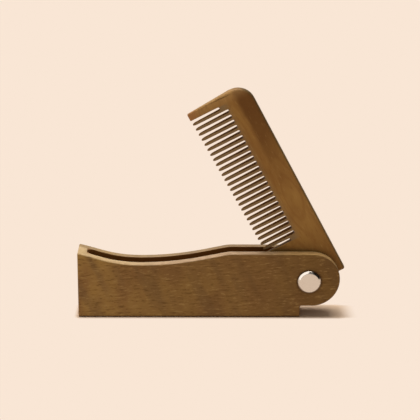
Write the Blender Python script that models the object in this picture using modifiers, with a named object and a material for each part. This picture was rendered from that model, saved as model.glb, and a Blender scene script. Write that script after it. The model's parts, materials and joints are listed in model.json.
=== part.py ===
"""A folding beard comb: a slotted wooden handle and a wooden comb that turn on one metal pivot.

Frame: +X runs along the handle to its nose, +Z is up, -Y is the front. The origin is on the
handle's bottom face, under the middle of its length and of its thickness.
"""

import math

import bmesh
import bpy
from mathutils import Matrix

MM = 0.001

# Driving dimensions, in millimetres.
HANDLE_LENGTH = 88.8
HANDLE_THICK = 10.4
FLOOR_THICK = 3.05  # wood left under the slot
SLOT_END_WALL = 3.05  # wood left at the slot's closed end
NOSE_OFFSET_X = 1.05  # nose centre, forward of the pivot
NOSE_OFFSET_Z = 0.55  # nose centre, above the pivot
END_RISE = 0.3  # closed end, above the nose's flat top
DIP_DEPTH = 3.9  # finger dip, below the nose's flat top
DIP_FROM_END = 21.5
FLAT_FROM_NOSE_TIP = 36.9  # where the flat top starts
HANDLE_ROUNDING = 0.6
# How far each curve of the top pulls, as a share of the stretch that it bends.
END_PULL = 0.37
DIP_PULL = 0.47
RISE_PULL = 0.53
FLAT_PULL = 0.115
END_SLOPE = 0.234  # fall of the top where it leaves the closed end

COMB_WIDTH = 22.2  # back to the guard tooth's tip
COMB_THICK = 3.6
COMB_TIP_THICK = 1.1
SPINE_FLAT = 5.5  # full thickness down to here from the back
ROOT_DEPTH = 9.2  # back to the roots of the long gaps
SHORT_ROOT_DEPTH = 11.6  # back to the roots of the first and last gaps
COMB_END = 2.7  # squared end, past the pivot
ROOT_LENGTH = 14.7  # pivot to the last gap
GUARD_WIDTH = 2.45  # least width of the guard tooth at its tip
GAP_WIDTH = 1.1
TOOTH_WIDTH = 0.88
TOOTH_TIP_LENGTH = 1.6
FIRST_TIP_RISE = 0.1  # slim tooth next to the guard, shorter than the guard by this
LAST_TIP_RISE = 0.7  # slim tooth next to the tang, shorter than the guard by this
CORNER_RADIUS = 6.0  # free corner of the back
END_LEAN = 2.0  # degrees that the free end leans in from the corner to the guard tooth's tip
BACK_ROUNDING = 1.0
SMALL_ROUNDING = 0.5
WEDGE_START = 0.74  # share of ROOT_LENGTH past which the comb thins towards its tips

BARREL_RADIUS = 2.0
BARREL_BORE_RADIUS = 1.25
BARREL_SOLID = 2.1  # front of the barrel, left solid under the head
HEAD_RADIUS = 4.0
HEAD_HEIGHT = 1.0
HEAD_BEVEL = 0.7
DRIVER_SLOT_WIDTH = 1.2
DRIVER_SLOT_DEPTH = 0.5
WASHER_RADIUS = 4.0
WASHER_THICK = 0.35

# Clearances.
FACE_GAP = 0.1  # between faces that bear on each other
BORE_CLEARANCE = 0.1  # round a barrel or a shank, radially
TIP_CLEARANCE = 0.3  # guard tooth's tip to the slot's floor, closed
BACK_CLEARANCE = 0.25  # comb's back to the plane of the handle's bottom, open
STOP_CLEARANCE = 0.2  # comb's squared end to the step that stops it, open
FREE_END_CLEARANCE = 4.9  # comb's free end to the slot's closed end
TANG_CLEARANCE = 1.05  # tang to the slot's floor
NOSE_COVER = 0.05  # tang, inside the underside of the nose
BARREL_END_GAP = 0.4  # barrel's end, short of the rear cheek's face
SHANK_END_GAP = 0.6  # shank's end, short of the bottom of the barrel's bore

OPEN_ANGLE = 61.5  # degrees between the closed comb and where it stands
ROUND_SIDES = 48
CUTTER_MARGIN = 5.0

# Worked out from the sizes above. Distances along the comb run from the pivot to its free end,
# and heights across it run from the pivot to its back.
TIP_DROP = (COMB_WIDTH - FLOOR_THICK - TIP_CLEARANCE + BACK_CLEARANCE) / 2
PIVOT_Z = FLOOR_THICK + TIP_CLEARANCE + TIP_DROP
BACK_HEIGHT = PIVOT_Z - BACK_CLEARANCE
TANG_RADIUS = PIVOT_Z - FLOOR_THICK - TANG_CLEARANCE
NOSE_RADIUS = TANG_RADIUS + NOSE_OFFSET_Z + NOSE_COVER
PIVOT_X = HANDLE_LENGTH / 2 - NOSE_RADIUS - NOSE_OFFSET_X
NOSE_X = PIVOT_X + NOSE_OFFSET_X
NOSE_Z = PIVOT_Z + NOSE_OFFSET_Z
NOSE_TOP = NOSE_Z + NOSE_RADIUS
STEP_X = PIVOT_X - COMB_END - STOP_CLEARANCE
STEP_HEIGHT = NOSE_Z - NOSE_RADIUS
SLOT_WIDTH = COMB_THICK + 2 * (WASHER_THICK + 2 * FACE_GAP)
SLOT_END_X = SLOT_END_WALL - HANDLE_LENGTH / 2
COMB_REACH = PIVOT_X - SLOT_END_X - FREE_END_CLEARANCE
TOOTH_PITCH = GAP_WIDTH + TOOTH_WIDTH
LEAN_SHIFT = (COMB_WIDTH - CORNER_RADIUS) * math.tan(math.radians(END_LEAN))
TOOTHED_LENGTH = COMB_REACH - LEAN_SHIFT - ROOT_LENGTH - GUARD_WIDTH
GAP_COUNT = int((TOOTHED_LENGTH + TOOTH_WIDTH + 1e-6) / TOOTH_PITCH)


def clear_scene():
    for old in list(bpy.data.objects):
        bpy.data.objects.remove(old, do_unlink=True)


def new_collection(name):
    collection = bpy.data.collections.new(name)
    bpy.context.scene.collection.children.link(collection)
    return collection


def principled(name, colour, roughness, metallic):
    made = bpy.data.materials.new(name)
    made.use_nodes = True
    shader = made.node_tree.nodes["Principled BSDF"]
    shader.inputs["Base Color"].default_value = (*colour, 1.0)
    shader.inputs["Roughness"].default_value = roughness
    shader.inputs["Metallic"].default_value = metallic
    return made


def add_object(name, mesh, collection, made=None):
    obj = bpy.data.objects.new(name, mesh)
    collection.objects.link(obj)
    if made:
        mesh.materials.append(made)
    return obj


def hide_cutter(obj):
    obj.hide_render = True
    obj.display_type = "WIRE"
    return obj


def arc(centre, radii, start, end, steps):
    """Points of an ellipse's arc, from the start angle to the end angle in degrees, both included."""
    points = []
    for step in range(steps + 1):
        angle = math.radians(start + (end - start) * step / steps)
        points.append((centre[0] + radii[0] * math.cos(angle), centre[1] + radii[1] * math.sin(angle)))
    return points


def plate_mesh(name, make_spline, thickness):
    """A flat outline in X and Z, extruded to both sides of Y = 0, as a mesh with welded caps."""
    curve = bpy.data.curves.new(name, "CURVE")
    curve.dimensions = "2D"
    curve.fill_mode = "BOTH"
    curve.extrude = thickness / 2 * MM
    make_spline(curve)
    guide = bpy.data.objects.new(name + "_outline", curve)
    bpy.context.scene.collection.objects.link(guide)
    guide.rotation_euler.x = math.radians(90)
    bpy.context.view_layer.update()
    mesh = bpy.data.meshes.new_from_object(guide.evaluated_get(bpy.context.evaluated_depsgraph_get()))
    mesh.name = name
    mesh.transform(guide.matrix_world)
    bpy.data.objects.remove(guide, do_unlink=True)
    body = bmesh.new()
    body.from_mesh(mesh)
    bmesh.ops.remove_doubles(body, verts=body.verts, dist=0.001 * MM)
    bmesh.ops.dissolve_limit(body, angle_limit=math.radians(0.5), verts=body.verts, edges=body.edges)
    bmesh.ops.recalc_face_normals(body, faces=body.faces)
    body.to_mesh(mesh)
    body.free()
    return mesh


def polygon_spline(curve, points):
    spline = curve.splines.new("POLY")
    spline.points.add(len(points) - 1)
    for point, (x, z) in zip(spline.points, points):
        point.co = (x * MM, z * MM, 0, 1)
    spline.use_cyclic_u = True


def turned(name, profile, closed, collection, made=None):
    """A profile of (radius, height) points, turned about the object's Z axis."""
    mesh = bpy.data.meshes.new(name)
    edges = [(i, i + 1) for i in range(len(profile) - 1)]
    if closed:
        edges.append((len(profile) - 1, 0))
    mesh.from_pydata([(r * MM, 0, z * MM) for r, z in profile], edges, [])
    obj = add_object(name, mesh, collection, made)
    screw = obj.modifiers.new("turn", "SCREW")
    screw.steps = ROUND_SIDES
    screw.render_steps = ROUND_SIDES
    screw.use_merge_vertices = True
    screw.merge_threshold = 0.00001
    screw.use_smooth_shade = False
    return obj


def box_cutter(name, low, high, collection):
    bpy.ops.mesh.primitive_cube_add(size=1)
    obj = bpy.context.object
    obj.name = name
    size = [(b - a) * MM for a, b in zip(low, high)]
    middle = [(a + b) / 2 * MM for a, b in zip(low, high)]
    obj.data.transform(Matrix.Translation(middle) @ Matrix.Diagonal((*size, 1)))
    move_to(obj, collection)
    return hide_cutter(obj)


def bore_cutter(name, radius, length, collection):
    """A cylinder along Y through the pivot."""
    bpy.ops.mesh.primitive_cylinder_add(vertices=ROUND_SIDES, radius=radius * MM, depth=length * MM)
    obj = bpy.context.object
    obj.name = name
    obj.rotation_euler.x = math.radians(90)
    obj.location = (PIVOT_X * MM, 0, PIVOT_Z * MM)
    move_to(obj, collection)
    return hide_cutter(obj)


def move_to(obj, collection):
    for old in list(obj.users_collection):
        old.objects.unlink(obj)
    collection.objects.link(obj)


def boolean(obj, other, operation="DIFFERENCE"):
    modifier = obj.modifiers.new(other.name, "BOOLEAN")
    modifier.operation = operation
    modifier.object = other


def handle_spline(curve):
    """The handle's side view: flat bottom, step, round nose, flat top, finger dip, closed end."""
    end_x = -HANDLE_LENGTH / 2
    flat_x = HANDLE_LENGTH / 2 - FLAT_FROM_NOSE_TIP
    dip_x = end_x + DIP_FROM_END
    dip_z = NOSE_TOP - DIP_DEPTH
    end_z = NOSE_TOP + END_RISE
    round_pull = NOSE_RADIUS * 4 / 3 * math.tan(math.pi / 8)
    end_pull = END_PULL * DIP_FROM_END
    dip_pull = DIP_PULL * DIP_FROM_END
    rise_pull = RISE_PULL * (flat_x - dip_x)
    flat_pull = FLAT_PULL * (flat_x - dip_x)
    # Each row: point, pull towards the previous point, pull towards the next point.
    rows = [
        ((end_x, 0), (0, 0), (0, 0)),
        ((STEP_X, 0), (0, 0), (0, 0)),
        ((STEP_X, STEP_HEIGHT), (0, 0), (0, 0)),
        ((NOSE_X, STEP_HEIGHT), (0, 0), (round_pull, 0)),
        ((NOSE_X + NOSE_RADIUS, NOSE_Z), (0, -round_pull), (0, round_pull)),
        ((NOSE_X, NOSE_TOP), (round_pull, 0), (0, 0)),
        ((flat_x, NOSE_TOP), (0, 0), (-flat_pull, 0)),
        ((dip_x, dip_z), (rise_pull, 0), (-dip_pull, 0)),
        ((end_x, end_z), (end_pull, -END_SLOPE * end_pull), (0, 0)),
    ]
    spline = curve.splines.new("BEZIER")
    spline.bezier_points.add(len(rows) - 1)
    spline.resolution_u = 10
    spline.use_cyclic_u = True
    for point, ((x, z), back, forward) in zip(spline.bezier_points, rows):
        point.handle_left_type = "FREE"
        point.handle_right_type = "FREE"
        point.co = (x * MM, z * MM, 0)
        point.handle_left = ((x + back[0]) * MM, (z + back[1]) * MM, 0)
        point.handle_right = ((x + forward[0]) * MM, (z + forward[1]) * MM, 0)


def slot_spline(curve):
    """The slot seen from above, with a round closed end. It stops at the step's face."""
    radius = SLOT_WIDTH / 2
    centre_x = SLOT_END_X + radius
    points = arc((centre_x, 0), (radius, radius), 90, 270, 12)
    points += [(STEP_X, -radius), (STEP_X, radius)]
    polygon_spline(curve, points)


def build_handle(parts, cutters, wood):
    mesh = plate_mesh("handle", handle_spline, HANDLE_THICK)
    handle = add_object("handle", mesh, parts, wood)
    bevel = handle.modifiers.new("rounding", "BEVEL")
    bevel.width = HANDLE_ROUNDING * MM
    bevel.segments = 2
    bevel.limit_method = "ANGLE"
    bevel.angle_limit = math.radians(50)

    top = NOSE_TOP + END_RISE + CUTTER_MARGIN
    slot_height = top - FLOOR_THICK
    slot = add_object("slot_cutter", plate_mesh("slot_cutter", slot_spline, slot_height), cutters)
    slot.rotation_euler.x = math.radians(-90)
    slot.location.z = (FLOOR_THICK + slot_height / 2) * MM
    boolean(handle, hide_cutter(slot))

    half = SLOT_WIDTH / 2
    low = (STEP_X, -half, -CUTTER_MARGIN)
    high = (HANDLE_LENGTH / 2 + CUTTER_MARGIN, half, top)
    boolean(handle, box_cutter("nose_slot_cutter", low, high, cutters))
    boolean(handle, bore_cutter("handle_bore_cutter", BARREL_RADIUS + BORE_CLEARANCE, 2 * HANDLE_THICK, cutters))


def tip_height(along):
    """The height of a slim tooth's tip: the tips rise in a straight line towards the tang."""
    first = COMB_REACH - LEAN_SHIFT - GUARD_WIDTH - GAP_WIDTH
    share = (first - along) / (first - ROOT_LENGTH)
    return FIRST_TIP_RISE + (LAST_TIP_RISE - FIRST_TIP_RISE) * share - TIP_DROP


def comb_points():
    """The comb's side view, closed: X is minus the distance along the comb, Z is the height."""
    half_gap = GAP_WIDTH / 2
    half_tooth = TOOTH_WIDTH / 2
    top = BACK_HEIGHT
    small = SMALL_ROUNDING
    tang_angle = math.degrees(math.acos(COMB_END / TANG_RADIUS))
    # From the squared end, over the back, to the free corner and down the guard tooth.
    points = arc((COMB_END - small, top - small), (small, small), 0, 90, 3)
    corner = (CORNER_RADIUS - COMB_REACH, top - CORNER_RADIUS)
    points += arc(corner, (CORNER_RADIUS, CORNER_RADIUS), 90, 180 + END_LEAN, 8)
    guard_width = COMB_REACH - ROOT_LENGTH - GAP_COUNT * TOOTH_PITCH + TOOTH_WIDTH
    points += arc((LEAN_SHIFT + small - COMB_REACH, small - TIP_DROP), (small, small), 180 + END_LEAN, 270, 3)
    points += arc((guard_width - small - COMB_REACH, small - TIP_DROP), (small, small), 270, 360, 3)
    # Gap by gap towards the tang, each followed by its tooth.
    for gap in range(GAP_COUNT):
        gap_x = guard_width + half_gap + gap * TOOTH_PITCH - COMB_REACH
        depth = SHORT_ROOT_DEPTH if gap in (0, GAP_COUNT - 1) else ROOT_DEPTH
        points += arc((gap_x, top - depth - half_gap), (half_gap, half_gap), 180, 0, 4)
        if gap < GAP_COUNT - 1:
            tooth_x = gap_x + TOOTH_PITCH / 2
            tip = (tooth_x, tip_height(-tooth_x) + TOOTH_TIP_LENGTH)
            points += arc(tip, (half_tooth, TOOTH_TIP_LENGTH), 180, 360, 6)
    # Under the tang, round the pivot, and back to the squared end.
    points += arc((small - ROOT_LENGTH, small - TANG_RADIUS), (small, small), 180, 270, 3)
    points += arc((0, 0), (TANG_RADIUS, TANG_RADIUS), 270, 360 - tang_angle, 8)
    return points


def section(low_half_thickness):
    """Half of the comb's cross-section from its lower edge up, as (half thickness, height)."""
    half = COMB_THICK / 2
    radius = BACK_ROUNDING
    points = [(low_half_thickness, -TIP_DROP - SMALL_ROUNDING), (half, BACK_HEIGHT - SPINE_FLAT)]
    points += arc((half - radius, BACK_HEIGHT - radius), (radius, radius), 0, 60, 3)
    # The rounding runs on in a straight line past the back's face, where the side view cuts it off.
    x, z = points[-1]
    points.append((x - 0.6 * radius, z + 0.35 * radius))
    return points


def comb_section_mesh():
    """A loft: wedge-shaped along the teeth, then thickening to flat sides over the tang."""
    wedge = section(COMB_TIP_THICK / 2)
    flat = section(COMB_THICK / 2)
    stations = [
        (-COMB_REACH - CUTTER_MARGIN, wedge),
        (-WEDGE_START * ROOT_LENGTH, wedge),
        (-WASHER_RADIUS - 2 * SMALL_ROUNDING, flat),
        (COMB_END + CUTTER_MARGIN, flat),
    ]
    body = bmesh.new()
    rings = []
    for x, half_section in stations:
        ring = [(y, z) for y, z in half_section] + [(-y, z) for y, z in reversed(half_section)]
        rings.append([body.verts.new((x * MM, y * MM, z * MM)) for y, z in ring])
    for near, far in zip(rings, rings[1:]):
        for i in range(len(near)):
            j = (i + 1) % len(near)
            body.faces.new((near[i], near[j], far[j], far[i]))
    body.faces.new(rings[0])
    body.faces.new(rings[-1])
    bmesh.ops.triangulate(body, faces=body.faces)
    bmesh.ops.recalc_face_normals(body, faces=body.faces)
    mesh = bpy.data.meshes.new("comb_section")
    body.to_mesh(mesh)
    body.free()
    return mesh


def build_comb(parts, cutters, wood):
    blank_thickness = COMB_THICK + 2 * SMALL_ROUNDING
    mesh = plate_mesh("comb_blade", lambda curve: polygon_spline(curve, comb_points()), blank_thickness)
    comb = add_object("comb_blade", mesh, parts, wood)
    shaped = hide_cutter(add_object("comb_section_cutter", comb_section_mesh(), cutters))
    for obj in (comb, shaped):
        obj.location = (PIVOT_X * MM, 0, PIVOT_Z * MM)
        obj.rotation_euler.y = math.radians(OPEN_ANGLE)
    boolean(comb, shaped, "INTERSECT")
    boolean(comb, bore_cutter("comb_bore_cutter", BARREL_RADIUS + BORE_CLEARANCE, 2 * HANDLE_THICK, cutters))


def place_on_pivot(obj, turn):
    """Puts a turned piece on the pivot's axis: a turn of 90 degrees points its Z axis to the front."""
    obj.rotation_euler.x = math.radians(turn)
    obj.location = (PIVOT_X * MM, 0, PIVOT_Z * MM)


def head_profile(seat):
    """A flat head with a bevelled rim, from the axis down to its underside."""
    top = seat + HEAD_HEIGHT
    return [(0, top), (HEAD_RADIUS - HEAD_BEVEL, top), (HEAD_RADIUS, top - HEAD_BEVEL), (HEAD_RADIUS, seat)]


def build_pivot(parts, cutters, metal):
    seat = HANDLE_THICK / 2 + FACE_GAP
    barrel_end = BARREL_END_GAP - HANDLE_THICK / 2
    bore_bottom = seat - BARREL_SOLID
    barrel = [
        (BARREL_RADIUS, seat),
        (BARREL_RADIUS, barrel_end),
        (BARREL_BORE_RADIUS, barrel_end),
        (BARREL_BORE_RADIUS, bore_bottom),
        (0, bore_bottom),
    ]
    post = turned("pivot_post", head_profile(seat) + barrel, False, parts, metal)
    place_on_pivot(post, 90)

    shank_radius = BARREL_BORE_RADIUS - BORE_CLEARANCE
    shank_end = SHANK_END_GAP - bore_bottom
    shank = [(shank_radius, seat), (shank_radius, shank_end), (0, shank_end)]
    screw = turned("pivot_screw", head_profile(seat) + shank, False, parts, metal)
    place_on_pivot(screw, -90)
    half = DRIVER_SLOT_WIDTH / 2
    floor = seat + HEAD_HEIGHT - DRIVER_SLOT_DEPTH
    low = (PIVOT_X - 2 * HEAD_RADIUS, floor, PIVOT_Z - half)
    high = (PIVOT_X + 2 * HEAD_RADIUS, floor + CUTTER_MARGIN, PIVOT_Z + half)
    boolean(screw, box_cutter("driver_slot_cutter", low, high, cutters))


def build_washers(parts, nylon):
    inner = BARREL_RADIUS + BORE_CLEARANCE
    low = COMB_THICK / 2 + FACE_GAP
    high = low + WASHER_THICK
    ring = [(WASHER_RADIUS, high), (WASHER_RADIUS, low), (inner, low), (inner, high)]
    for name, turn in (("washer_front", 90), ("washer_rear", -90)):
        place_on_pivot(turned(name, ring, True, parts, nylon), turn)


def main():
    clear_scene()
    parts = new_collection("folding_beard_comb")
    cutters = new_collection("cutters")
    handle_wood = principled("handle_wood", (0.155, 0.088, 0.033), 0.5, 0.0)
    comb_wood = principled("comb_wood", (0.165, 0.08, 0.026), 0.45, 0.0)
    nickel = principled("polished_nickel", (0.78, 0.74, 0.69), 0.18, 1.0)
    nylon = principled("black_nylon", (0.02, 0.02, 0.02), 0.5, 0.0)
    build_handle(parts, cutters, handle_wood)
    build_comb(parts, cutters, comb_wood)
    build_pivot(parts, cutters, nickel)
    build_washers(parts, nylon)


main()
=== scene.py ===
import json
import math

import bmesh
import bpy
from mathutils import Euler, Matrix, Vector
from mathutils.geometry import interpolate_bezier


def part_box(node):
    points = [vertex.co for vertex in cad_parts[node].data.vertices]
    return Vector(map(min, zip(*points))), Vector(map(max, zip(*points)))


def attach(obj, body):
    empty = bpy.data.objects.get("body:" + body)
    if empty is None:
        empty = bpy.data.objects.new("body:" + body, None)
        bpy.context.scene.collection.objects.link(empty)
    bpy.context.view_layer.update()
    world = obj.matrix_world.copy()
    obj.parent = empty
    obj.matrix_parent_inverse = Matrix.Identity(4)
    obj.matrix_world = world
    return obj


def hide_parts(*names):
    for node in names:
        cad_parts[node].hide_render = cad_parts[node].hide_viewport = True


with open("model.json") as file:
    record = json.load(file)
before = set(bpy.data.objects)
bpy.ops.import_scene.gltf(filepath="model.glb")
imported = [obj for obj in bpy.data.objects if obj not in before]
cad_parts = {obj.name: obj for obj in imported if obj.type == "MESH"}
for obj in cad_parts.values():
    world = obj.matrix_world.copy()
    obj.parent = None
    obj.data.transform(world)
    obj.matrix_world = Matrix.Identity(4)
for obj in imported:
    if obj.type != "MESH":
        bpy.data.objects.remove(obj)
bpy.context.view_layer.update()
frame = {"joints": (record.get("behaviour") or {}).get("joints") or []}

MM = 0.001

# Places of the model's own pieces, in millimetres.
joint = frame["joints"][0]
PIVOT_X, _, PIVOT_Z = (value / MM for value in joint["pos_m"])
OPEN_ANGLE = math.radians(-joint["range_deg"][0])
handle_low, handle_high = (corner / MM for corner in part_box("handle"))
comb_low, comb_high = (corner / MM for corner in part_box("comb_blade"))
post_low, post_high = (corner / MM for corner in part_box("pivot_post"))
screw_low, screw_high = (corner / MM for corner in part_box("pivot_screw"))
washer_low, washer_high = (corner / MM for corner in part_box("washer_front"))

# Handle, in millimetres.
NOSE_RADIUS = 9.4
NOSE_X = handle_high.x - NOSE_RADIUS
NOSE_Z = 13.45
NOSE_TOP = NOSE_Z + NOSE_RADIUS
STEP_X = 31.05
STEP_HEIGHT = NOSE_Z - NOSE_RADIUS
DIP_DEPTH = 3.9
DIP_FROM_END = 21.5
FLAT_FROM_NOSE_TIP = 36.9
FLOOR_THICK = 3.05
SLOT_END_WALL = 3.05
SLOT_WIDTH = 4.7
HANDLE_ROUNDING = 0.6
SLOT_ROUNDING = 0.2
# How far each curve of the top pulls, as a share of the stretch that it bends.
END_PULL = 0.37
DIP_PULL = 0.47
RISE_PULL = 0.53
FLAT_PULL = 0.115
END_SLOPE = 0.234

# Comb, in millimetres. Distances along it run from the pivot to its free end, heights to its back.
COMB_THICK = comb_high.y - comb_low.y
COMB_TIP_THICK = 1.1
COMB_REACH = 70.4
BACK_HEIGHT = 12.65
TIP_DROP = 9.55
SPINE_FLAT = 5.5
TANG_FLAT = 5.0
ROOT_DEPTH = 9.2
SHORT_ROOT_DEPTH = 11.6
COMB_END = 2.7
ROOT_LENGTH = 14.7
WEDGE_START = 0.74 * ROOT_LENGTH
GAP_WIDTH = 1.1
TOOTH_WIDTH = 0.88
TOOTH_PITCH = GAP_WIDTH + TOOTH_WIDTH
GAP_COUNT = 27
TOOTH_TIP_LENGTH = 1.6
TIP_TAPER_RISE = 2.2
FIRST_TIP_RISE = 0.1
LAST_TIP_RISE = 0.7
CORNER_RADIUS = 6.0
TANG_RADIUS = 8.8
GUARD_WIDTH = COMB_REACH - ROOT_LENGTH - GAP_COUNT * TOOTH_PITCH + TOOTH_WIDTH
END_LEAN = math.radians(2.0)
BACK_ROUNDING = 1.0
COMB_ROUNDING = 0.5
TOOTH_ROUNDING = 0.2

# Pivot, in millimetres.
BARREL_RADIUS = 2.0
BARREL_BORE_RADIUS = 1.25
BARREL_SOLID = 2.1
BORE_CLEARANCE = 0.1
BORE_RADIUS = BARREL_RADIUS + BORE_CLEARANCE
HEAD_RADIUS = 4.0
HEAD_HEIGHT = 1.0
HEAD_BEVEL = 0.7
DRIVER_SLOT_WIDTH = 1.2
DRIVER_SLOT_DEPTH = 0.5
FINE_EDGE = 0.08

NEAR = 0.01
CUTTER_MARGIN = 5
CUTTER_DEPTH = 40
BORE_SIDES = 64
ROUND_SIDES = 96
SAME_PLANE = math.radians(0.05)


# ---------------------------------------------------------------- working by hand, in code

def deselect_all():
    for obj in list(bpy.context.selected_objects):
        obj.select_set(False)


def take(obj):
    """Makes obj the only selected and active object."""
    deselect_all()
    bpy.context.view_layer.objects.active = obj
    obj.select_set(True)
    return obj


def edit(obj):
    take(obj)
    bpy.ops.object.mode_set(mode="EDIT")
    bpy.ops.mesh.select_mode(type="VERT")


def leave_edit():
    bpy.ops.object.mode_set(mode="OBJECT")


def deselect_elements(kind):
    bpy.ops.mesh.select_mode(type=kind)
    bpy.ops.mesh.select_all(action="DESELECT")


def pick(obj, kind, test):
    """In edit mode, selects only the vertices, edges or faces that pass the test."""
    deselect_elements(kind)
    body = bmesh.from_edit_mesh(obj.data)
    for element in {"VERT": body.verts, "EDGE": body.edges, "FACE": body.faces}[kind]:
        if test(element):
            element.select_set(True)
    body.select_flush_mode()
    bmesh.update_edit_mesh(obj.data)


def pick_sharp(angle):
    """In edit mode, selects only the edges whose faces turn by more than this angle."""
    deselect_elements("EDGE")
    bpy.ops.mesh.edges_select_sharp(sharpness=math.radians(angle))


def middle(element):
    return sum((vertex.co for vertex in element.verts), Vector()) / len(element.verts)


def apply_place(obj):
    take(obj)
    bpy.ops.object.transform_apply(location=True, rotation=True, scale=True)
    return obj


def apply_modifier(obj, kind, **settings):
    take(obj)
    modifier = obj.modifiers.new(kind.lower(), kind)
    for key, value in settings.items():
        setattr(modifier, key, value)
    bpy.ops.object.modifier_apply(modifier=modifier.name)


def cut(obj, cutter):
    apply_modifier(obj, "BOOLEAN", operation="DIFFERENCE", object=cutter, solver="EXACT")
    bpy.data.objects.remove(cutter, do_unlink=True)


def arc(centre, radii, start, end, steps):
    """Points of an ellipse's arc, from the start angle to the end angle in degrees, both included."""
    points = []
    for step in range(steps + 1):
        angle = math.radians(start + (end - start) * step / steps)
        points.append((centre[0] + radii[0] * math.cos(angle), centre[1] + radii[1] * math.sin(angle)))
    return points


def drawn_plate(name, points, thickness):
    """An outline drawn point by point in X and Z, filled, and extruded to both sides of Y = 0."""
    deselect_all()
    x, z = points[0]
    bpy.ops.mesh.primitive_plane_add(size=MM, location=(x * MM, 0, z * MM))
    obj = bpy.context.object
    obj.name = name
    apply_place(obj)
    edit(obj)
    bpy.ops.mesh.select_all(action="SELECT")
    bpy.ops.mesh.merge(type="CENTER")
    for (x, z), (next_x, next_z) in zip(points, points[1:]):
        step = ((next_x - x) * MM, 0, (next_z - z) * MM)
        bpy.ops.mesh.extrude_region_move(TRANSFORM_OT_translate={"value": step})
    pick(obj, "VERT", lambda vertex: len(vertex.link_edges) < 2)
    bpy.ops.mesh.edge_face_add()
    bpy.ops.mesh.select_all(action="SELECT")
    bpy.ops.mesh.edge_face_add()
    bpy.ops.transform.translate(value=(0, -thickness / 2 * MM, 0))
    bpy.ops.mesh.extrude_region_move(TRANSFORM_OT_translate={"value": (0, thickness * MM, 0)})
    bpy.ops.mesh.select_all(action="SELECT")
    bpy.ops.mesh.normals_make_consistent(inside=False)
    leave_edit()
    return obj


def block(low, high):
    """A cube primitive between two corners, in millimetres."""
    deselect_all()
    size = [(b - a) * MM for a, b in zip(low, high)]
    bpy.ops.mesh.primitive_cube_add(size=1, location=[(a + b) / 2 * MM for a, b in zip(low, high)])
    obj = bpy.context.object
    obj.scale = size
    return apply_place(obj)


def bore_cutter(x, z):
    """A cylinder along Y, for the pivot's bore."""
    deselect_all()
    bpy.ops.mesh.primitive_cylinder_add(
        vertices=BORE_SIDES,
        radius=BORE_RADIUS * MM,
        depth=CUTTER_DEPTH * MM,
        location=(x * MM, 0, z * MM),
        rotation=(math.pi / 2, 0, 0),
    )
    return apply_place(bpy.context.object)


def finish_shading(obj, angle=35):
    take(obj)
    bpy.ops.object.shade_smooth_by_angle(angle=math.radians(angle))
    apply_modifier(obj, "WEIGHTED_NORMAL", mode="FACE_AREA", weight=80, keep_sharp=True)


# ---------------------------------------------------------------- handle

def handle_outline():
    """The side view: flat bottom, step, round nose, flat top, finger dip and closed end."""
    end_x, end_z = handle_low.x, handle_high.z
    flat_x = handle_high.x - FLAT_FROM_NOSE_TIP
    dip_x = end_x + DIP_FROM_END
    dip_z = NOSE_TOP - DIP_DEPTH
    run = flat_x - dip_x
    end_pull = END_PULL * DIP_FROM_END
    points = [(end_x, 0), (STEP_X, 0), (STEP_X, STEP_HEIGHT)]
    points += arc((NOSE_X, NOSE_Z), (NOSE_RADIUS, NOSE_RADIUS), -90, 90, 36)
    hump = interpolate_bezier(
        (flat_x, NOSE_TOP),
        (flat_x - FLAT_PULL * run, NOSE_TOP),
        (dip_x + RISE_PULL * run, dip_z),
        (dip_x, dip_z),
        28,
    )
    rise = interpolate_bezier(
        (dip_x, dip_z),
        (dip_x - DIP_PULL * DIP_FROM_END, dip_z),
        (end_x + end_pull, end_z - END_SLOPE * end_pull),
        (end_x, end_z),
        24,
    )
    return points + [tuple(point) for point in hump + rise[1:]]


def make_handle():
    thickness = handle_high.y - handle_low.y
    handle = drawn_plate("wooden_handle", handle_outline(), thickness)
    edit(handle)
    pick_sharp(50)
    bpy.ops.mesh.bevel(
        offset=HANDLE_ROUNDING * MM, segments=5, affect="EDGES", profile=0.5, clamp_overlap=False
    )
    leave_edit()

    # The slot's closed end is round, so the cutter's upright edges there are rolled into a half cylinder.
    half = SLOT_WIDTH / 2
    slot_end = handle_low.x + SLOT_END_WALL
    slot = block(
        (slot_end, -half, FLOOR_THICK), (handle_high.x + CUTTER_MARGIN, half, handle_high.z + CUTTER_MARGIN)
    )

    def upright_at_end(edge):
        rise = abs(edge.verts[0].co.z - edge.verts[1].co.z)
        return middle(edge).x < (slot_end + NEAR) * MM and rise > MM

    edit(slot)
    pick(slot, "EDGE", upright_at_end)
    bpy.ops.mesh.bevel(offset=(half - 0.001) * MM, segments=12, affect="EDGES", profile=0.5)
    leave_edit()
    cut(handle, slot)
    cut(handle, bore_cutter(PIVOT_X, PIVOT_Z))

    edit(handle)

    def on_slot_rim(edge):
        if len(edge.link_faces) < 2 or edge.calc_face_angle() < math.radians(60):
            return False
        place = middle(edge) / MM
        near_bore = math.hypot(place.x - PIVOT_X, place.z - PIVOT_Z) < BORE_RADIUS + 0.5
        above_floor = place.z > FLOOR_THICK + 0.1
        return abs(place.y) < half + NEAR and above_floor and not near_bore

    pick(handle, "EDGE", on_slot_rim)
    bpy.ops.mesh.bevel(
        offset=SLOT_ROUNDING * MM, segments=3, affect="EDGES", profile=0.5, clamp_overlap=False
    )
    leave_edit()
    finish_shading(handle)
    return handle


# ---------------------------------------------------------------- comb

def tip_height(along):
    """The height of a slim tooth's tip: the tips rise in a straight line towards the tang."""
    first = COMB_REACH - GUARD_WIDTH - GAP_WIDTH
    share = (first - along) / (first - ROOT_LENGTH)
    return FIRST_TIP_RISE + (LAST_TIP_RISE - FIRST_TIP_RISE) * share - TIP_DROP


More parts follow.
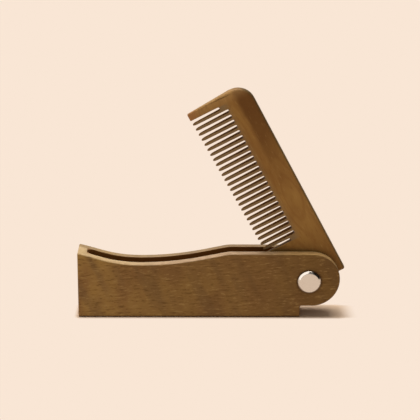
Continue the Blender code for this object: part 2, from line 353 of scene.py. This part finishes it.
def comb_outline():
    """The side view, closed: X is minus the distance along the comb, Z is the height."""
    half_gap = GAP_WIDTH / 2
    half_tooth = TOOTH_WIDTH / 2
    top = BACK_HEIGHT
    tang_angle = math.degrees(math.acos(COMB_END / TANG_RADIUS))
    points = [(COMB_END, top)]
    corner = (CORNER_RADIUS - COMB_REACH, top - CORNER_RADIUS)
    points += arc(corner, (CORNER_RADIUS, CORNER_RADIUS), 90, 180 + math.degrees(END_LEAN), 20)
    end_x, end_z = points[-1]
    lean = (end_z + TIP_DROP) * math.tan(END_LEAN)
    points += [(end_x + lean, -TIP_DROP), (GUARD_WIDTH - COMB_REACH, -TIP_DROP)]
    for gap in range(GAP_COUNT):
        gap_x = GUARD_WIDTH + half_gap + gap * TOOTH_PITCH - COMB_REACH
        depth = SHORT_ROOT_DEPTH if gap in (0, GAP_COUNT - 1) else ROOT_DEPTH
        points += arc((gap_x, top - depth - half_gap), (half_gap, half_gap), 180, 0, 6)
        if gap < GAP_COUNT - 1:
            tooth_x = gap_x + TOOTH_PITCH / 2
            tip = (tooth_x, tip_height(-tooth_x) + TOOTH_TIP_LENGTH)
            points += arc(tip, (half_tooth, TOOTH_TIP_LENGTH), 180, 360, 12)
    points += [(-ROOT_LENGTH, -TANG_RADIUS)]
    points += arc((0, 0), (TANG_RADIUS, TANG_RADIUS), 270, 360 - tang_angle, 12)
    return points


def make_comb():
    comb = drawn_plate("wooden_comb", comb_outline(), COMB_THICK)
    crease = BACK_HEIGHT - SPINE_FLAT
    edit(comb)
    for height in (crease, BACK_HEIGHT - ROOT_DEPTH - GAP_WIDTH, TIP_TAPER_RISE - TIP_DROP):
        bpy.ops.mesh.select_all(action="SELECT")
        bpy.ops.mesh.bisect(plane_co=(0, 0, height * MM), plane_no=(0, 0, 1))
    for along in (WEDGE_START, TANG_FLAT):
        bpy.ops.mesh.select_all(action="SELECT")
        bpy.ops.mesh.bisect(plane_co=(-along * MM, 0, 0), plane_no=(1, 0, 0))
    leave_edit()

    # The teeth taper to their tips: each level below the crease is drawn in towards the middle.
    levels = {}
    for vertex in comb.data.vertices:
        x, z = vertex.co.x / MM, vertex.co.z / MM
        if z < crease - NEAR and x < NEAR - WEDGE_START:
            levels.setdefault(round(z, 3), set()).add(vertex.index)
    edit(comb)
    slope = (COMB_THICK - COMB_TIP_THICK) / (crease + TIP_DROP + COMB_ROUNDING)
    for level, members in levels.items():
        pick(comb, "VERT", lambda vertex: vertex.index in members)
        share = (COMB_THICK - slope * (crease - level)) / COMB_THICK
        bpy.ops.transform.resize(value=(1, share, 1))

    pick_sharp(70)
    sharp = {edge.index for edge in bmesh.from_edit_mesh(comb.data).edges if edge.select}

    def toothed(edge):
        place = middle(edge) / MM
        return -COMB_REACH + GUARD_WIDTH - 0.1 < place.x < 0.1 - ROOT_LENGTH and place.z < crease

    def along_back(edge):
        place = middle(edge) / MM
        on_corner = place.x < CORNER_RADIUS - COMB_REACH and place.z > BACK_HEIGHT - CORNER_RADIUS - 0.2
        return abs(place.y) > 1 and (on_corner or place.z > BACK_HEIGHT - NEAR)

    for rounding, chosen in (
        (TOOTH_ROUNDING, toothed),
        (BACK_ROUNDING, along_back),
        (COMB_ROUNDING, lambda edge: not toothed(edge) and not along_back(edge)),
    ):
        pick(comb, "EDGE", lambda edge: edge.index in sharp and chosen(edge))
        bpy.ops.transform.edge_bevelweight(value=rounding / BACK_ROUNDING)
    leave_edit()
    apply_modifier(
        comb,
        "BEVEL",
        width=BACK_ROUNDING * MM,
        segments=5,
        limit_method="WEIGHT",
        use_clamp_overlap=False,
        loop_slide=False,
    )
    cut(comb, bore_cutter(0, 0))
    # The gaps' ends lie in one line, along which the cut leaves hairline cracks. They are closed here.
    edit(comb)
    bpy.ops.mesh.select_all(action="DESELECT")
    bpy.ops.mesh.select_non_manifold()
    bpy.ops.mesh.fill()
    bpy.ops.mesh.select_all(action="SELECT")
    bpy.ops.mesh.normals_make_consistent(inside=False)
    bpy.ops.mesh.dissolve_limited(angle_limit=SAME_PLANE)
    leave_edit()
    comb.rotation_euler = (0, OPEN_ANGLE, 0)
    comb.location = (PIVOT_X * MM, 0, PIVOT_Z * MM)
    apply_place(comb)
    finish_shading(comb)
    return comb


# ---------------------------------------------------------------- pivot

def round_head(name, seat):
    """A flat head with a bevelled rim, on the Z axis."""
    top = seat + HEAD_HEIGHT
    deselect_all()
    bpy.ops.mesh.primitive_cylinder_add(
        vertices=ROUND_SIDES,
        radius=HEAD_RADIUS * MM,
        depth=(top - seat) * MM,
        location=(0, 0, (top + seat) / 2 * MM),
    )
    head = apply_place(bpy.context.object)
    head.name = name

    def level_above_seat(edge):
        low, high = sorted(vertex.co.z for vertex in edge.verts)
        return high - low < NEAR / 10 * MM and low > (seat + 0.1) * MM

    edit(head)
    pick(head, "EDGE", lambda edge: all(vertex.co.z > (top - NEAR) * MM for vertex in edge.verts))
    bpy.ops.mesh.bevel(offset=HEAD_BEVEL * MM, segments=1, affect="EDGES")
    pick(head, "EDGE", level_above_seat)
    bpy.ops.mesh.bevel(offset=FINE_EDGE * MM, segments=3, affect="EDGES", profile=0.5)
    leave_edit()
    return head


def narrow_down(obj, height, radius, wider, length):
    """Insets the flat cap that faces down at this height to a smaller radius, and extrudes it by length."""

    def on_cap(face):
        level = abs(middle(face).z - height * MM) < NEAR * MM
        return level and face.normal.z < -0.9 and len(face.verts) > 8

    pick(obj, "FACE", on_cap)
    bpy.ops.mesh.inset(thickness=(wider - radius) * MM, depth=0)
    bpy.ops.mesh.extrude_region_move(TRANSFORM_OT_translate={"value": (0, 0, -length * MM)})


def stand_on_pivot(obj, turn):
    """Turns the Z axis to the front (90 degrees) or to the rear (-90), and moves it to the pivot."""
    obj.rotation_euler = (math.radians(turn), 0, 0)
    obj.location = (PIVOT_X * MM, 0, PIVOT_Z * MM)
    apply_place(obj)


def make_post():
    seat = -post_low.y - HEAD_HEIGHT
    barrel_end = -post_high.y
    bore_bottom = seat - BARREL_SOLID
    post = round_head("front_pivot_head", seat)
    edit(post)
    narrow_down(post, seat, BARREL_RADIUS, HEAD_RADIUS, seat - barrel_end)
    narrow_down(post, barrel_end, BARREL_BORE_RADIUS, BARREL_RADIUS, barrel_end - bore_bottom)
    leave_edit()
    stand_on_pivot(post, 90)
    finish_shading(post, 30)
    return post


def make_screw():
    seat = screw_high.y - HEAD_HEIGHT
    shank_end = screw_low.y
    screw = round_head("rear_pivot_screw", seat)
    edit(screw)
    narrow_down(screw, seat, BARREL_BORE_RADIUS - BORE_CLEARANCE, HEAD_RADIUS, seat - shank_end)
    leave_edit()
    half = DRIVER_SLOT_WIDTH / 2
    floor = seat + HEAD_HEIGHT - DRIVER_SLOT_DEPTH
    cut(screw, block((-2 * HEAD_RADIUS, -half, floor), (2 * HEAD_RADIUS, half, floor + CUTTER_MARGIN)))
    stand_on_pivot(screw, -90)
    finish_shading(screw, 30)
    return screw


def make_washer(name, turn):
    """A flat ring with fine rounded edges, made on the Z axis."""
    low = -washer_high.y
    high = -washer_low.y
    radius = (washer_high.x - washer_low.x) / 2
    deselect_all()
    bpy.ops.mesh.primitive_circle_add(vertices=ROUND_SIDES, radius=radius * MM, location=(0, 0, low * MM))
    washer = bpy.context.object
    washer.name = name
    apply_place(washer)
    edit(washer)
    bpy.ops.mesh.select_all(action="SELECT")
    bpy.ops.mesh.extrude_edges_move()
    share = BORE_RADIUS / radius
    bpy.ops.transform.resize(value=(share, share, 1))
    bpy.ops.mesh.select_all(action="SELECT")
    bpy.ops.mesh.extrude_region_move(TRANSFORM_OT_translate={"value": (0, 0, (high - low) * MM)})
    bpy.ops.mesh.select_all(action="SELECT")
    bpy.ops.mesh.normals_make_consistent(inside=False)
    pick_sharp(60)
    bpy.ops.mesh.bevel(offset=FINE_EDGE * MM, segments=3, affect="EDGES")
    leave_edit()
    stand_on_pivot(washer, turn)
    finish_shading(washer, 40)
    return washer


# ---------------------------------------------------------------- materials

# Textures are placed in millimetres. The oil on the wood tints what it reflects.
IN_MM = (1000, 1000, 1000)
WOOD_SHEEN = (0.7, 0.36, 0.12)
# Colours of the handle, of the comb, and of the pivot and its washers.
HANDLE_PALE = (0.35, 0.205, 0.06)
HANDLE_BROWN = (0.25, 0.132, 0.046)
HANDLE_BAND = (0.165, 0.096, 0.042)
HANDLE_MIDDLE = (0.16, 0.085, 0.03)
HANDLE_NOSE = (0.12, 0.062, 0.02)
HANDLE_PORE = (0.11, 0.053, 0.015)
HANDLE_FLECK = (0.45, 0.29, 0.11)
# Painted light: lighter colours for the upward faces, at the end, middle, nose and rear.
TOP_LIGHT_END = (0.74, 0.54, 0.3)
TOP_LIGHT_MIDDLE = (0.64, 0.45, 0.29)
TOP_LIGHT_NOSE = (0.64, 0.4, 0.16)
TOP_LIGHT_REAR = (0.5, 0.4, 0.26)
# Partly raw wood, partly painted shade inside the slot.
SLOT_RAW_AND_SHADE = (0.21, 0.072, 0.01)
# Painted shade along the bottom edge.
BOTTOM_SHADE = (0.04, 0.014, 0.005)
# Painted shade round the pivot's heads.
HEAD_RING_SHADE = (0.04, 0.018, 0.008)
COMB_PALE = (0.35, 0.19, 0.052)
COMB_BROWN = (0.26, 0.127, 0.035)
GROWTH_LINE = (0.2, 0.085, 0.022)
HEARTWOOD = (0.125, 0.05, 0.014)
TANG_BROWN = (0.2, 0.095, 0.024)
FREE_END = (0.5, 0.3, 0.12)
GUARD_TIP = (0.34, 0.13, 0.05)
# A greyer colour painted on the teeth.
GREYER_TEETH = (0.212, 0.15, 0.08)
COMB_PORE = (0.15, 0.065, 0.018)
COMB_FLECK = (0.48, 0.3, 0.11)
# Gap walls: partly sawn wood, partly painted shade.
SAWN_WALL_AND_SHADE = (0.27, 0.135, 0.045)
# Painted shade on the back's rounding.
BACK_SHADE = (0.09, 0.06, 0.018)
NICKEL_LIGHT = (0.69, 0.625, 0.555)
NICKEL_HAZE = (0.66, 0.59, 0.52)
NYLON_DARK = (0.018, 0.017, 0.016)
NYLON_LIGHT = (0.03, 0.028, 0.027)


class Shades:
    """Node helpers for one material."""

    def __init__(self, name):
        self.material = bpy.data.materials.new(name)
        self.material.use_nodes = True
        self.tree = self.material.node_tree
        self.shader = self.tree.nodes["Principled BSDF"]

    def node(self, kind, **settings):
        made = self.tree.nodes.new("ShaderNode" + kind)
        for key, value in settings.items():
            setattr(made, key, value)
        return made

    def feed(self, socket, value):
        if isinstance(value, bpy.types.NodeSocket):
            self.tree.links.new(value, socket)
        elif isinstance(value, tuple) and len(value) == 3 and socket.type == "RGBA":
            socket.default_value = (*value, 1.0)
        else:
            socket.default_value = value

    def place(self, vector=None, scale=(1, 1, 1), turn=(0, 0, 0), shift=(0, 0, 0), kind="POINT"):
        """Places a texture: stretched, turned in degrees and shifted, from the object's own axes."""
        if vector is None:
            vector = self.node("TexCoord").outputs["Object"]
        mapping = self.node("Mapping", vector_type=kind)
        self.feed(mapping.inputs["Vector"], vector)
        self.feed(mapping.inputs["Scale"], Vector(scale))
        self.feed(mapping.inputs["Rotation"], Euler([math.radians(a) for a in turn]))
        self.feed(mapping.inputs["Location"], Vector(shift))
        return mapping.outputs["Vector"]

    def noise(self, vector, detail=3.0, roughness=0.5):
        made = self.node("TexNoise")
        self.feed(made.inputs["Vector"], vector)
        self.feed(made.inputs["Scale"], 1.0)
        self.feed(made.inputs["Detail"], detail)
        self.feed(made.inputs["Roughness"], roughness)
        return made.outputs["Fac"]

    def span(self, value, low, high, to_low=0.0, to_high=1.0, kind="SMOOTHSTEP"):
        """Turns the value's range from low to high into the range from to_low to to_high."""
        made = self.node("MapRange", interpolation_type=kind)
        names = ("Value", "From Min", "From Max", "To Min", "To Max")
        for name, given in zip(names, (value, low, high, to_low, to_high)):
            self.feed(made.inputs[name], given)
        return made.outputs["Result"]

    def maths(self, operation, a, b=None):
        """One step of arithmetic on one or two values."""
        made = self.node("Math", operation=operation)
        self.feed(made.inputs[0], a)
        if b is not None:
            self.feed(made.inputs[1], b)
        return made.outputs["Value"]

    def mix(self, share, a, b):
        """Colour a where the share is 0, colour b where it is 1."""
        made = self.node("Mix", data_type="RGBA", blend_type="MIX")
        self.feed(made.inputs[0], share)
        self.feed(made.inputs[6], a)
        self.feed(made.inputs[7], b)
        return made.outputs[2]

    def split(self, vector):
        made = self.node("SeparateXYZ")
        self.feed(made.inputs[0], vector)
        return made.outputs["X"], made.outputs["Y"], made.outputs["Z"]

    def bump(self, height, strength, distance):
        made = self.node("Bump")
        self.feed(made.inputs["Height"], height)
        self.feed(made.inputs["Strength"], strength)
        self.feed(made.inputs["Distance"], distance)
        return made.outputs["Normal"]

    def set(self, **values):
        for name, value in values.items():
            self.feed(self.shader.inputs[name.replace("_", " ")], value)


def ring_shade(wood, across):
    """1 close to the pivot's heads, where a painted contact shade rings them, 0 away from them."""
    x, _, z = wood.split(across)
    off_x = wood.maths("SUBTRACT", x, PIVOT_X)
    off_z = wood.maths("SUBTRACT", z, PIVOT_Z)
    squares = wood.maths("ADD", wood.maths("POWER", off_x, 2.0), wood.maths("POWER", off_z, 2.0))
    return wood.span(wood.maths("SQRT", squares), HEAD_RADIUS + 0.9, HEAD_RADIUS - 0.1)


def handle_wood():
    """Open-grained wood: swaying fibres with pores and pale flecks, upward edges painted lighter as painted
    light, and a dark slot that is partly raw wood and partly painted shade.
    """
    wood = Shades("handle_wood_finish")
    across = wood.place(scale=IN_MM)
    slot_end_x = handle_low.x + SLOT_END_WALL
    x, y, z = wood.split(across)
    sway = wood.noise(wood.place(across, scale=(0.05, 0.09, 0.09)), detail=2)
    along = wood.place(wood.place(across, turn=(0, 3, 0)), scale=(0.42, 2.0, 2.1))
    grain_place = wood.node("VectorMath", operation="ADD")
    wood.feed(grain_place.inputs[0], along)
    swayed = wood.node("CombineXYZ")
    wood.feed(swayed.inputs["Z"], wood.maths("MULTIPLY", sway, 5.0))
    wood.feed(grain_place.inputs[1], swayed.outputs[0])
    fibre = wood.noise(grain_place.outputs[0], detail=3, roughness=0.6)
    pores = wood.span(fibre, 0.54, 0.66)
    flecks = wood.span(fibre, 0.43, 0.32)
    patches = wood.place(across, scale=(0.085, 0.05, 0.045), shift=(3.1, 0.4, 1.7))
    cloud = wood.noise(patches, detail=3, roughness=0.55)
    leaning = wood.place(across, turn=(0, 24, 0))
    bands = wood.noise(wood.place(leaning, scale=(0.16, 0.02, 0.035), shift=(8.3, 2.0, 5.0)), detail=3)
    base = wood.mix(wood.span(cloud, 0.35, 0.65), HANDLE_PALE, HANDLE_BROWN)
    base = wood.mix(wood.span(bands, 0.46, 0.64, 0.0, 0.6), base, HANDLE_BAND)
    # The wood is palest at its closed end, and darkens further towards the nose.
    base = wood.mix(wood.span(x, -44.0, -5.0, 0.0, 0.5), base, HANDLE_MIDDLE)
    base = wood.mix(wood.span(x, 8.0, 40.0, 0.0, 0.56), base, HANDLE_NOSE)
    base = wood.mix(wood.maths("MULTIPLY", pores, 0.6), base, HANDLE_PORE)
    base = wood.mix(wood.maths("MULTIPLY", flecks, 0.4), base, HANDLE_FLECK)
    # Painted light: the narrow upward faces are painted lighter, standing in for the light and sheen that
    # fall on them from above.
    _, _, facing_up = wood.split(wood.node("TexCoord").outputs["Normal"])
    top_light = wood.mix(wood.span(x, -34.0, -6.0), TOP_LIGHT_END, TOP_LIGHT_MIDDLE)
    top_light = wood.mix(wood.span(x, 12.0, 30.0), top_light, TOP_LIGHT_NOSE)
    top_light = wood.mix(wood.span(y, 1.0, 3.0, 0.0, 0.7), top_light, TOP_LIGHT_REAR)
    mottle = wood.noise(wood.place(across, scale=(0.35, 0.8, 0.8), shift=(2.0, 6.0, 1.0)), detail=2)
    front_to_rear = wood.span(y, 1.0, 3.0, 0.75, 0.38)
    top_light_share = wood.maths("MULTIPLY", front_to_rear, wood.span(mottle, 0.3, 0.7, 0.6, 1.0))
    base = wood.mix(wood.maths("MULTIPLY", wood.span(facing_up, 0.3, 0.85), top_light_share), base, top_light)
    # Inside the slot the wood is painted dark: partly its raw, unfinished wood and partly painted shade in
    # the narrow slot.
    inside = wood.span(wood.maths("ABSOLUTE", y), SLOT_WIDTH / 2 + 0.12, SLOT_WIDTH / 2 + 0.02)
    inside = wood.maths("MULTIPLY", inside, wood.span(x, slot_end_x - 0.05, slot_end_x + 0.02))
    base = wood.mix(wood.maths("MULTIPLY", inside, 0.75), base, SLOT_RAW_AND_SHADE)
    # Painted shade: the bottom edge is painted darker, for the contact shade where it meets the floor.
    base = wood.mix(wood.span(z, 0.75, 0.1, 0.0, 0.8), base, BOTTOM_SHADE)
    # Painted shade: a dark ring round the pivot's heads, for the contact shade at their rims.
    base = wood.mix(wood.maths("MULTIPLY", ring_shade(wood, across), 0.75), base, HEAD_RING_SHADE)
    wood.set(Base_Color=base, Roughness=wood.span(fibre, 0.3, 0.7, 0.42, 0.56, "LINEAR"))
    wood.set(Specular_Tint=WOOD_SHEEN)
    wood.set(Normal=wood.bump(fibre, 0.3, 0.00004))
    return wood.material


def comb_wood():
    """Close-grained wood whose fibres follow the comb: its pattern is placed from the folded pose."""
    wood = Shades("comb_wood_finish")
    local = wood.place(
        shift=(PIVOT_X * MM, 0, PIVOT_Z * MM), turn=(0, math.degrees(OPEN_ANGLE), 0), kind="TEXTURE"
    )
    across = wood.place(local, scale=IN_MM)
    x, _, z = wood.split(across)
    along = wood.place(across, scale=(0.35, 2.2, 2.0), turn=(0, 2, 0))
    fibre = wood.noise(along, detail=3, roughness=0.6)
    cloud = wood.noise(wood.place(across, scale=(0.05, 0.08, 0.11), shift=(1.3, 0.2, 4.1)), detail=3)
    base = wood.mix(wood.span(cloud, 0.35, 0.65), COMB_PALE, COMB_BROWN)
    # The figure: long loops of darker growth, clearest towards the tang.
    loops = wood.noise(wood.place(across, scale=(0.03, 0.09, 0.1), shift=(5.2, 0, 2.2)), detail=1)
    lines = wood.maths("SINE", wood.maths("MULTIPLY", loops, 60.0))
    base = wood.mix(wood.span(lines, 0.1, 1.0, 0.0, 0.28), base, GROWTH_LINE)
    # A dark streak of heartwood along the back, strongest at the free end.
    edge = wood.noise(wood.place(across, scale=(0.1, 0.1, 0.18), shift=(0, 0, 9)), detail=3)
    height = wood.maths("ADD", z, wood.maths("MULTIPLY", edge, 4.0))
    streak = wood.maths("MULTIPLY", wood.span(height, 8.6, 10.4), wood.span(x, -32.0, -60.0, 0.0, 0.9))
    base = wood.mix(streak, base, HEARTWOOD)
    # The tang is darker.
    base = wood.mix(wood.span(x, -24.0, -4.0, 0.0, 0.6), base, TANG_BROWN)
    # The free end is paler, and the guard tooth redder at its tip.
    base = wood.mix(wood.span(x, 4.5 - COMB_REACH, -COMB_REACH, 0.0, 0.45), base, FREE_END)
    tip = wood.maths("MULTIPLY", wood.span(x, 4.0 - COMB_REACH, 2.5 - COMB_REACH), wood.span(z, -4.5, -8.5))
    base = wood.mix(wood.maths("MULTIPLY", tip, 0.6), base, GUARD_TIP)
    # The teeth are painted greyer than the polished back, their gap walls partly as sawn wood, partly as
    # painted shade.
    teeth = wood.span(z, 5.2, 1.8)
    toothed = wood.maths("MULTIPLY", teeth, wood.span(x, 2.6 - COMB_REACH, 3.6 - COMB_REACH))
    toothed = wood.maths("MULTIPLY", toothed, wood.span(x, 0.1 - ROOT_LENGTH, -0.1 - ROOT_LENGTH))
    base = wood.mix(wood.maths("MULTIPLY", toothed, 0.85), base, GREYER_TEETH)
    base = wood.mix(wood.span(fibre, 0.56, 0.72, 0.0, 0.35), base, COMB_PORE)
    base = wood.mix(wood.span(fibre, 0.42, 0.3, 0.0, 0.25), base, COMB_FLECK)
    # Painted shade: faces turned from the front, the gap walls and tooth roundings, get the gap colour and
    # no sheen.
    _, facing_out, _ = wood.split(wood.node("NewGeometry").outputs["True Normal"])
    sawn_wall_and_shade = wood.span(wood.maths("ABSOLUTE", facing_out), 0.97, 0.6)
    sawn_wall_and_shade = wood.maths("MULTIPLY", sawn_wall_and_shade, toothed)
    base = wood.mix(wood.maths("MULTIPLY", sawn_wall_and_shade, 0.85), base, SAWN_WALL_AND_SHADE)
    # Painted shade: the rounding of the back, which faces away from the light, is painted darker.
    facing_back = wood.node("VectorMath", operation="DOT_PRODUCT")
    wood.feed(facing_back.inputs[0], wood.node("TexCoord").outputs["Normal"])
    wood.feed(facing_back.inputs[1], Vector((math.sin(OPEN_ANGLE), 0, math.cos(OPEN_ANGLE))))
    back_shade_share = wood.span(facing_back.outputs["Value"], 0.3, 0.85, 0.0, 0.75)
    base = wood.mix(back_shade_share, base, BACK_SHADE)
    wood.set(Base_Color=base, Roughness=wood.span(fibre, 0.3, 0.7, 0.38, 0.52, "LINEAR"))
    wood.set(Specular_Tint=WOOD_SHEEN, Specular_IOR_Level=wood.span(sawn_wall_and_shade, 0.0, 1.0, 0.5, 0.0))
    wood.set(Normal=wood.bump(fibre, 0.2, 0.00003))
    return wood.material


def nickel():
    metal = Shades("nickel_finish")
    across = metal.place(scale=IN_MM)
    haze = metal.noise(metal.place(across, scale=(0.8, 0.8, 0.8)), detail=4)
    scratch = metal.noise(metal.place(across, scale=(9, 9, 0.5), turn=(0, 30, 0)), detail=3)
    metal.set(Base_Color=metal.mix(haze, NICKEL_LIGHT, NICKEL_HAZE))
    metal.set(Metallic=1.0, Roughness=metal.span(haze, 0.3, 0.7, 0.14, 0.22, "LINEAR"))
    metal.set(Normal=metal.bump(scratch, 0.01, 0.00001))
    return metal.material


def nylon():
    plastic = Shades("nylon_finish")
    across = plastic.place(scale=IN_MM)
    fine = plastic.noise(plastic.place(across, scale=(6, 6, 6)), detail=3)
    plastic.set(Base_Color=plastic.mix(fine, NYLON_DARK, NYLON_LIGHT))
    plastic.set(Roughness=plastic.span(fine, 0.3, 0.7, 0.45, 0.6, "LINEAR"))
    plastic.set(Normal=plastic.bump(fine, 0.15, 0.00002))
    return plastic.material


def paint(obj, material):
    obj.data.materials.clear()
    obj.data.materials.append(material)


# ---------------------------------------------------------------- studio

CREAM = (0.947, 0.791, 0.665)
# Painted shade: the floor's colour near the object, darker and warmer than the cream glow.
SHADED_PAPER = (0.73, 0.54, 0.385)
COOL_WHITE = (1.0, 0.98, 0.95)
SKY = (1.0, 0.96, 0.92, 1)
SOOT = (0.01, 0.008, 0.007)
BLACK = (0, 0, 0)
# Metres.
FLOOR_SIZE = 8
BACKDROP_RADIUS = 3.9
CARD_SIZE = 0.5
CARD_TARGET = (0.03, 0, 0.02)

# Camera: lens and sensor in millimetres, place in metres, turns in degrees.
LENS = 111.82
SENSOR_WIDTH = 36
CAMERA_PLACE = (-0.009179, -0.417568, 0.17177)
CAMERA_YAW, CAMERA_PITCH, CAMERA_ROLL = 1.283, -17.914, 0.559


def aimed(obj, place, target):
    obj.location = place
    direction = Vector(target) - Vector(place)
    obj.rotation_euler = direction.to_track_quat("-Z", "Y").to_euler()


def make_light(name, place, target, size, power, colour):
    lamp = bpy.data.lights.new(name, "AREA")
    lamp.shape = "RECTANGLE"
    lamp.size, lamp.size_y = size
    lamp.energy = power
    lamp.color = colour
    obj = bpy.data.objects.new(name, lamp)
    bpy.context.scene.collection.objects.link(obj)
    aimed(obj, place, target)


def glowing(name, colour, strength=1.0):
    """A plain colour that looks the same however it is lit."""
    glow = Shades(name)
    glow.set(Base_Color=BLACK, Roughness=1.0, Specular_IOR_Level=0.0)
    glow.set(Emission_Color=colour, Emission_Strength=strength)
    return glow.material


def stand_card(name, place, scale, material):
    """A card beside the object, out of view, that only shows in its reflections."""
    deselect_all()
    bpy.ops.mesh.primitive_plane_add(size=CARD_SIZE)
    card = bpy.context.object
    card.name = name
    card.scale = scale
    aimed(card, place, CARD_TARGET)
    paint(card, material)
    card.visible_camera = False
    card.visible_diffuse = False
    card.visible_shadow = False


def make_studio():
    deselect_all()
    bpy.ops.mesh.primitive_plane_add(size=FLOOR_SIZE)
    floor = bpy.context.object
    floor.name = "studio_floor"
    # Lit like paper close to the object, where its shadow falls, and glowing evenly away from it. Near the
    # object the paper is darker and warmer than the glow: painted shade that deepens its shadow.
    pale = Shades("pale_floor")
    x, y, _ = pale.split(pale.place(scale=IN_MM))
    past_nose = pale.maths("MAXIMUM", pale.maths("SUBTRACT", x, handle_high.x), 0.0)
    past_end = pale.maths("MAXIMUM", pale.maths("SUBTRACT", handle_low.x, x), 0.0)
    past_side = pale.maths("MAXIMUM", pale.maths("SUBTRACT", pale.maths("ABSOLUTE", y), handle_high.y), 0.0)
    # The shadow reaches furthest past the nose, so the glow starts sooner on the other sides.
    others = pale.maths("MULTIPLY", pale.maths("ADD", past_end, past_side), 4.0)
    near = pale.span(pale.maths("ADD", past_nose, others), 7.0, 0.0)
    pale.set(Roughness=0.95, Specular_IOR_Level=0.0)
    pale.set(Base_Color=pale.mix(near, BLACK, SHADED_PAPER))
    pale.set(Emission_Color=pale.mix(near, CREAM, BLACK), Emission_Strength=1.0)
    paint(floor, pale.material)

    deselect_all()
    bpy.ops.mesh.primitive_ico_sphere_add(subdivisions=4, radius=BACKDROP_RADIUS)
    backdrop = bpy.context.object
    backdrop.name = "backdrop"
    paint(backdrop, glowing("backdrop_cream", CREAM))
    backdrop.visible_diffuse = False
    backdrop.visible_glossy = False
    backdrop.visible_transmission = False
    backdrop.visible_shadow = False

    world = bpy.data.worlds.new("studio")
    bpy.context.scene.world = world
    world.use_nodes = True
    sky = world.node_tree.nodes["Background"]
    sky.inputs["Color"].default_value = SKY
    sky.inputs["Strength"].default_value = 0.25

    make_light("overhead", (-0.25, 0.4, 1.2), (-0.25, 0.4, 0), (1.3, 1.3), 22.0, COOL_WHITE)

    dark = Shades("dark_card")
    dark.set(Base_Color=SOOT, Roughness=1.0, Specular_IOR_Level=0.0)
    stand_card("dark_card", (0.55, -0.05, 0.33), (1.0, 1.4, 1), dark.material)
    bright = glowing("bright_card", COOL_WHITE, 1.5)
    stand_card("bright_card", (-0.4, -0.22, 0.42), (1.2, 2.2, 1), bright)


def make_camera():
    data = bpy.data.cameras.new("camera")
    data.sensor_width = SENSOR_WIDTH
    data.lens = LENS
    data.clip_start = 0.01
    camera = bpy.data.objects.new("camera", data)
    bpy.context.scene.collection.objects.link(camera)
    yaw, pitch, roll = (math.radians(angle) for angle in (CAMERA_YAW, CAMERA_PITCH, CAMERA_ROLL))
    forward = Vector((math.sin(yaw) * math.cos(pitch), math.cos(yaw) * math.cos(pitch), math.sin(pitch)))
    right = Vector((math.cos(yaw), -math.sin(yaw), 0))
    up = right.cross(forward)
    rolled_right = right * math.cos(roll) + up * math.sin(roll)
    rolled_up = up * math.cos(roll) - right * math.sin(roll)
    turn = Matrix((rolled_right, rolled_up, -forward)).transposed()
    camera.matrix_world = Matrix.Translation(CAMERA_PLACE) @ turn.to_4x4()
    bpy.context.scene.camera = camera
    bpy.context.scene.view_settings.view_transform = "Standard"


make_camera()
wood, comb_finish, metal, plastic = handle_wood(), comb_wood(), nickel(), nylon()

handle = make_handle()
paint(handle, wood)
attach(handle, "handle_assembly")
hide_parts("handle")

comb = make_comb()
paint(comb, comb_finish)
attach(comb, "comb")
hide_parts("comb_blade")

for make, node in ((make_post, "pivot_post"), (make_screw, "pivot_screw")):
    piece = make()
    paint(piece, metal)
    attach(piece, "handle_assembly")
    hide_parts(node)

for name, turn, node in (("front_washer", 90, "washer_front"), ("rear_washer", -90, "washer_rear")):
    piece = make_washer(name, turn)
    paint(piece, plastic)
    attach(piece, "handle_assembly")
    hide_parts(node)

make_studio()
